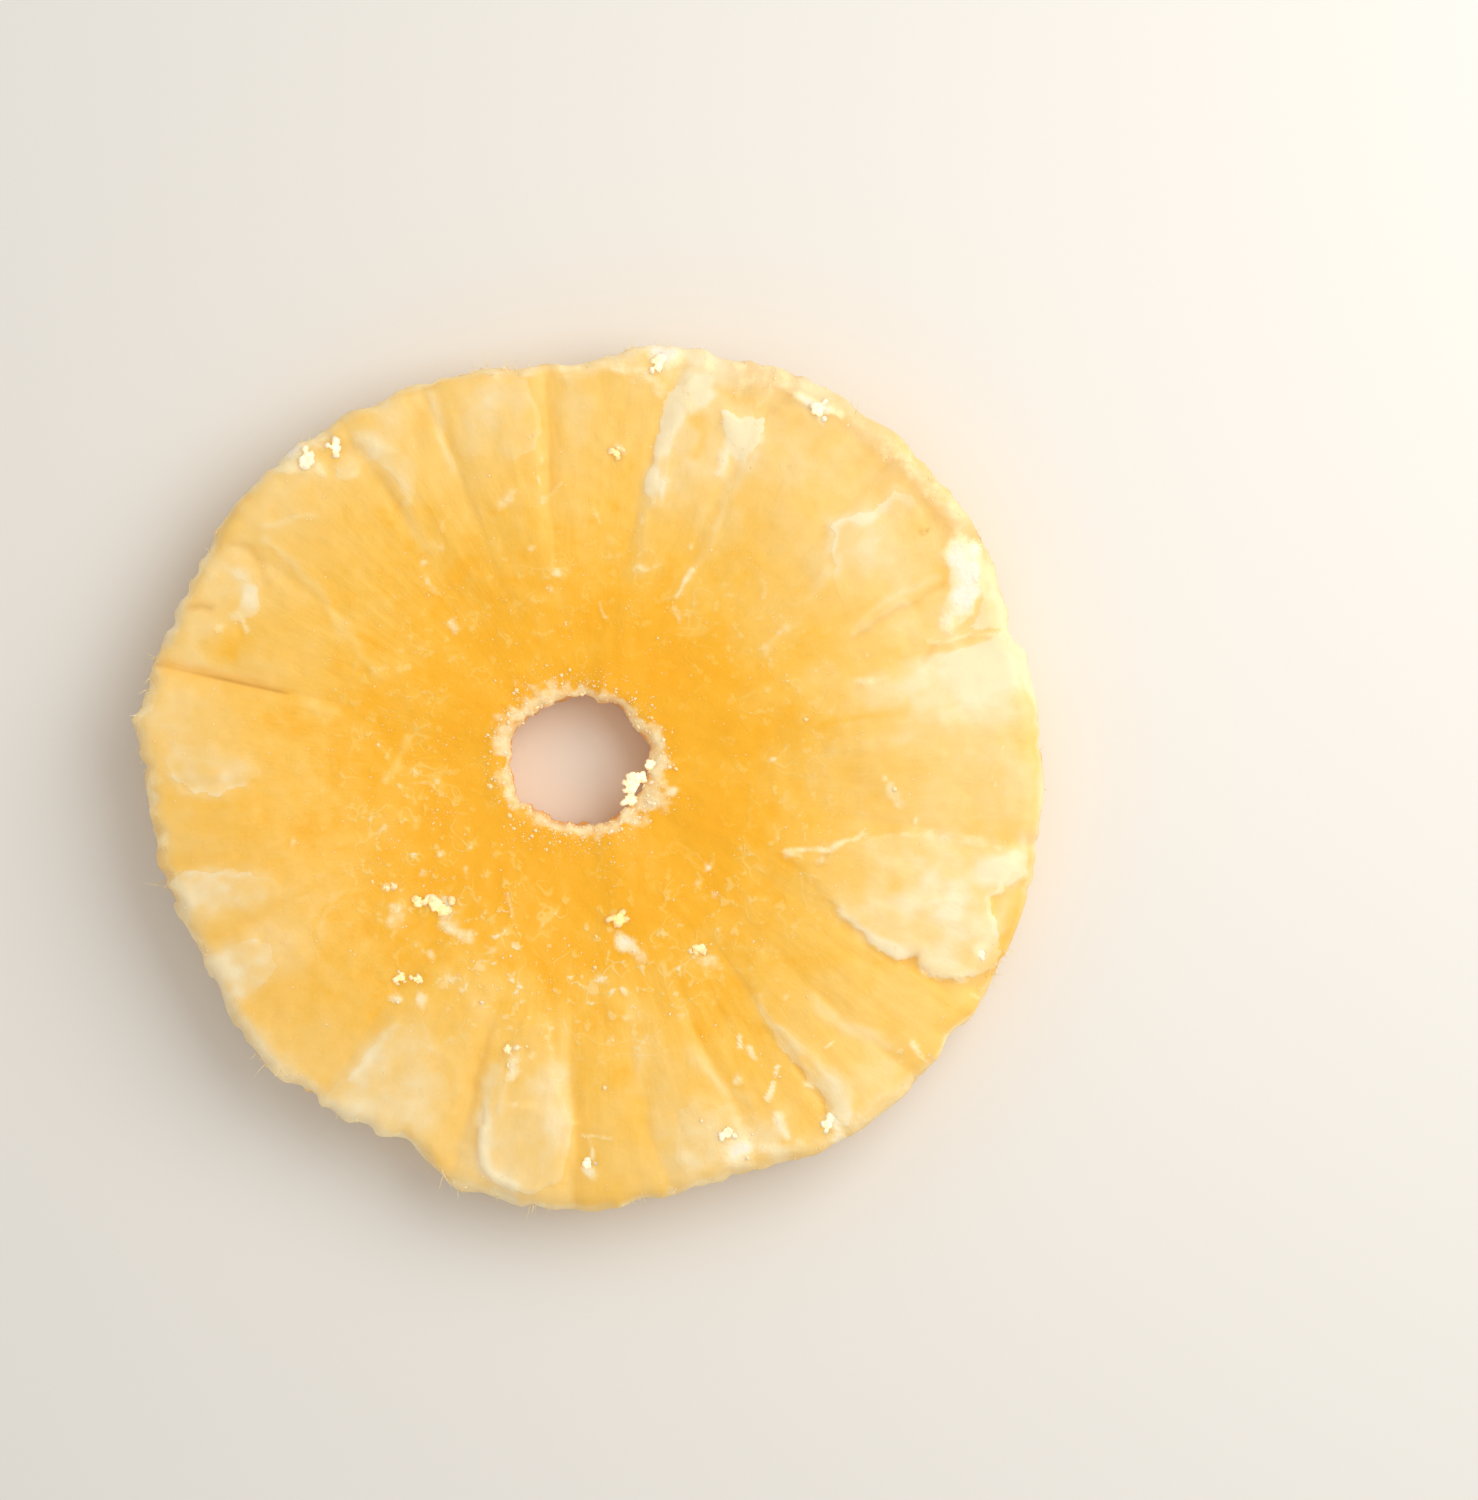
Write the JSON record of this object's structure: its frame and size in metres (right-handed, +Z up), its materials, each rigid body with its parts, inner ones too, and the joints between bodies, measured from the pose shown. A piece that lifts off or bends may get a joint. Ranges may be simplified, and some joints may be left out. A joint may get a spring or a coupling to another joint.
{
  "type": "candied pineapple ring",
  "caption": "Flat round slice of candied fruit with a hole through its middle, wedge grooves, torn raised layers and crumbs of sugar.",
  "frame": {"origin": "on the surface that the ring lies on, under the middle of its outline", "axes": "+Z up out of the grooved top face; +X and +Y across the ring, +X along its widest way"},
  "size_m": [0.0752, 0.0716, 0.0107],
  "materials": {
    "candied_fruit": "translucent sugared fruit, amber round the hole and paler towards the edge"
  },
  "bodies": {
    "root": {"pineapple_ring": "candied_fruit"}
  },
  "joints": []
}
